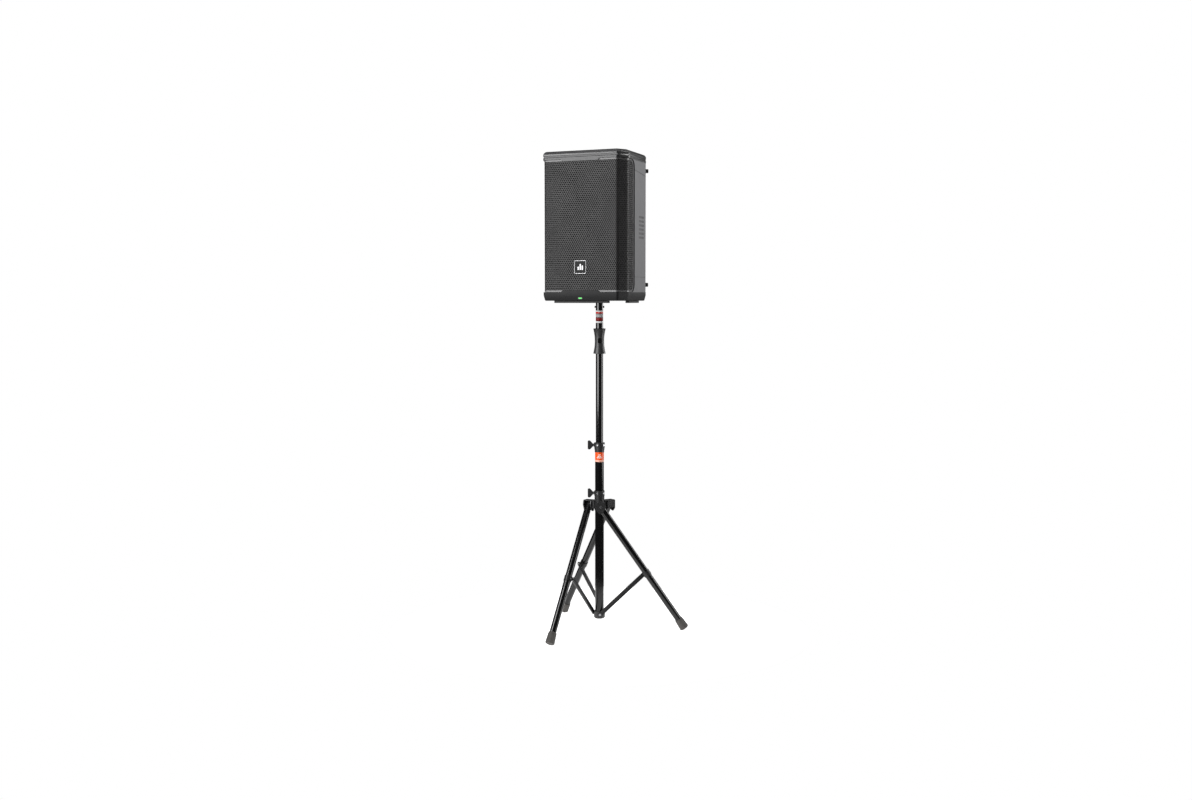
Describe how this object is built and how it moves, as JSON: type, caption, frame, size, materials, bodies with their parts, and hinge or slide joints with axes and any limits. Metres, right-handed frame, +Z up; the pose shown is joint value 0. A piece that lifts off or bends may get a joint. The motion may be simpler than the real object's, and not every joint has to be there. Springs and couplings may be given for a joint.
{
  "type": "pa speaker",
  "caption": "Powered two-way loudspeaker cabinet that swivels on and lifts off a height-adjustable folding tripod stand.",
  "frame": {"origin": "on the floor, under the middle of the whole object's outline seen from above", "axes": "+Z up the mast, the speaker's grille faces -Y, +X to the right of someone facing the grille"},
  "size_m": [0.7382, 0.6938, 2.267],
  "materials": {
    "main_tube": "gloss black powder coat",
    "upper_collar": "fine-grained glass-filled nylon",
    "collar_bolts": "bright zinc plate",
    "tube_band": "printed vinyl band",
    "base_fitting": "fine-grained glass-filled nylon",
    "base_cap": "satin moulded nylon",
    "base_rivets": "dark zinc plate",
    "upper_knob": "soft matte overmould",
    "upper_knob_stud": "dark zinc plate",
    "pole": "gloss black powder coat",
    "pole_plug": "satin moulded nylon",
    "pole_pin": "dark zinc plate",
    "grip_sleeve": "grained rubber",
    "pole_band": "striped vinyl band",
    "grip_button": "smooth moulded plastic",
    "pole_top_cap": "satin moulded nylon",
    "hub_collar": "fine-grained glass-filled nylon",
    "hub_bolts": "bright zinc plate",
    "hub_pins": "dark zinc plate",
    "hub_knob": "soft matte overmould",
    "hub_knob_stud": "dark zinc plate",
    "leg_a": "gloss black powder coat",
    "foot_a": "worn grey rubber",
    "leg_bracket_a": "satin moulded nylon",
    "brace_a": "satin black powder coat",
    "leg_b": "gloss black powder coat",
    "foot_b": "worn grey rubber",
    "leg_bracket_b": "satin moulded nylon",
    "brace_b": "satin black powder coat",
    "leg_c": "gloss black powder coat",
    "foot_c": "worn grey rubber",
    "leg_bracket_c": "satin moulded nylon",
    "brace_c": "satin black powder coat",
    "cabinet_shell": "fine-textured moulded polypropylene",
    "baffle": "moulded plastic",
    "top_cap": "fine-textured moulded polypropylene",
    "bottom_cap": "fine-textured moulded polypropylene",
    "grille": "perforated powder-coated steel",
    "grille_foam": "open-cell acoustic foam",
    "badge": "brushed aluminium on black",
    "led_lens": "lit light guide",
    "cabinet_feet": "matte rubber",
    "rear_bumpers": "matte rubber",
    "pole_cup": "moulded nylon",
    "rigging_inserts": "dark zinc plate",
    "woofer_basket": "satin black cast frame",
    "woofer_magnet": "plated steel",
    "woofer_surround": "doped cloth",
    "horn": "moulded plastic",
    "compression_driver": "plated steel",
    "amp_panel": "satin black powder coat",
    "heat_sink": "black anodised",
    "amp_board": "green laminate",
    "input_sockets": "dark nickel plate",
    "power_inlet": "moulded plastic",
    "panel_screws": "dark zinc plate",
    "woofer_cone": "pressed paper pulp",
    "level_knob_a": "moulded plastic",
    "level_knob_b": "moulded plastic",
    "power_rocker": "moulded plastic"
  },
  "bodies": {
    "mast": {"main_tube": "main_tube", "upper_collar": "upper_collar", "collar_bolts": "collar_bolts", "tube_band": "tube_band", "base_fitting": "base_fitting", "base_cap": "base_cap", "base_rivets": "base_rivets"},
    "upper_knob": {"upper_knob": "upper_knob", "upper_knob_stud": "upper_knob_stud"},
    "pole": {"pole": "pole", "pole_plug": "pole_plug", "pole_pin": "pole_pin", "grip_sleeve": "grip_sleeve", "pole_band": "pole_band"},
    "grip_button": {"grip_button": "grip_button"},
    "turntable": {"pole_top_cap": "pole_top_cap"},
    "hub": {"hub_collar": "hub_collar", "hub_bolts": "hub_bolts", "hub_pins": "hub_pins"},
    "hub_knob": {"hub_knob": "hub_knob", "hub_knob_stud": "hub_knob_stud"},
    "leg_a": {"leg_a": "leg_a", "foot_a": "foot_a", "leg_bracket_a": "leg_bracket_a"},
    "brace_a": {"brace_a": "brace_a"},
    "leg_b": {"leg_b": "leg_b", "foot_b": "foot_b", "leg_bracket_b": "leg_bracket_b"},
    "brace_b": {"brace_b": "brace_b"},
    "leg_c": {"leg_c": "leg_c", "foot_c": "foot_c", "leg_bracket_c": "leg_bracket_c"},
    "brace_c": {"brace_c": "brace_c"},
    "cabinet": {"cabinet_shell": "cabinet_shell", "baffle": "baffle", "top_cap": "top_cap", "bottom_cap": "bottom_cap", "grille": "grille", "grille_foam": "grille_foam", "badge": "badge", "led_lens": "led_lens", "cabinet_feet": "cabinet_feet", "rear_bumpers": "rear_bumpers", "pole_cup": "pole_cup", "rigging_inserts": "rigging_inserts", "woofer_basket": "woofer_basket", "woofer_magnet": "woofer_magnet", "woofer_surround": "woofer_surround", "horn": "horn", "compression_driver": "compression_driver", "amp_panel": "amp_panel", "heat_sink": "heat_sink", "amp_board": "amp_board", "input_sockets": "input_sockets", "power_inlet": "power_inlet", "panel_screws": "panel_screws"},
    "woofer_cone": {"woofer_cone": "woofer_cone"},
    "level_knob_a": {"level_knob_a": "level_knob_a"},
    "level_knob_b": {"level_knob_b": "level_knob_b"},
    "power_rocker": {"power_rocker": "power_rocker"}
  },
  "joints": [
    {"name": "hub_slide", "type": "slide", "parent": "mast", "child": "hub", "axis": [0, 0, 1], "range_m": [0, 0.166]},
    {"name": "leg_a_swing", "type": "hinge", "parent": "hub", "child": "leg_a", "pos_m": [0, 0.02748, 0.601], "axis": [-0.5, 0.866, 0], "range_deg": [0, 34.5]},
    {"name": "brace_a_swing", "type": "hinge", "parent": "mast", "child": "brace_a", "pos_m": [-0.014, 0.05173, 0.073], "axis": [0.5, -0.866, 0], "range_deg": [0, 47.31]},
    {"name": "leg_b_swing", "type": "hinge", "parent": "hub", "child": "leg_b", "pos_m": [0, 0.12448, 0.601], "axis": [-0.5, -0.866, 0], "range_deg": [0, 34.5]},
    {"name": "brace_b_swing", "type": "hinge", "parent": "mast", "child": "brace_b", "pos_m": [-0.014, 0.10023, 0.073], "axis": [0.5, 0.866, 0], "range_deg": [0, 47.31]},
    {"name": "leg_c_swing", "type": "hinge", "parent": "hub", "child": "leg_c", "pos_m": [-0.084, 0.07598, 0.601], "axis": [1, 0, 0], "range_deg": [0, 34.5]},
    {"name": "brace_c_swing", "type": "hinge", "parent": "mast", "child": "brace_c", "pos_m": [-0.056, 0.07598, 0.073], "axis": [-1, 0, 0], "range_deg": [0, 47.31]},
    {"name": "upper_knob_turn", "type": "hinge", "parent": "mast", "child": "upper_knob", "pos_m": [-0.06332, 0.0572, 0.89], "axis": [-0.8829, -0.4695, 0], "range_deg": [0, 360]},
    {"name": "hub_knob_turn", "type": "hinge", "parent": "hub", "child": "hub_knob", "pos_m": [-0.06332, 0.0572, 0.659], "axis": [-0.8829, -0.4695, 0], "range_deg": [0, 360]},
    {"name": "pole_height", "type": "slide", "parent": "mast", "child": "pole", "axis": [0, 0, 1], "range_m": [-0.42, 0.15]},
    {"name": "grip_button_press", "type": "slide", "parent": "pole", "child": "grip_button", "axis": [-0.4384, 0.8988, 0], "range_m": [0, 0.0018], "stiffness_N_per_m": 900},
    {"name": "speaker_swivel", "type": "hinge", "parent": "pole", "child": "turntable", "pos_m": [-0.028, 0.07598, 1.665], "axis": [0, 0, 1], "continuous": true},
    {"name": "speaker_lift", "type": "slide", "parent": "turntable", "child": "cabinet", "axis": [0, 0, 1], "range_m": [0, 0.12]},
    {"name": "cone_travel", "type": "slide", "parent": "cabinet", "child": "woofer_cone", "axis": [0, -1, 0], "range_m": [-0.008, 0.008], "stiffness_N_per_m": 3500},
    {"name": "level_knob_a_turn", "type": "hinge", "parent": "cabinet", "child": "level_knob_a", "pos_m": [-0.074, 0.22198, 1.967], "axis": [0, 1, 0], "range_deg": [-150, 150]},
    {"name": "level_knob_b_turn", "type": "hinge", "parent": "cabinet", "child": "level_knob_b", "pos_m": [-0.018, 0.22198, 1.967], "axis": [0, 1, 0], "range_deg": [-150, 150]},
    {"name": "power_rocker_tip", "type": "hinge", "parent": "cabinet", "child": "power_rocker", "pos_m": [0.038, 0.22348, 1.796], "axis": [-1, 0, 0], "range_deg": [0, 15]}
  ],
  "couplings": [
    {"joint": "leg_a_swing", "follows": "hub_slide", "rad_per_m": 3.6249},
    {"joint": "brace_a_swing", "follows": "hub_slide", "rad_per_m": 4.9718},
    {"joint": "leg_b_swing", "follows": "hub_slide", "rad_per_m": 3.6249},
    {"joint": "brace_b_swing", "follows": "hub_slide", "rad_per_m": 4.9718},
    {"joint": "leg_c_swing", "follows": "hub_slide", "rad_per_m": 3.6249},
    {"joint": "brace_c_swing", "follows": "hub_slide", "rad_per_m": 4.9718}
  ]
}
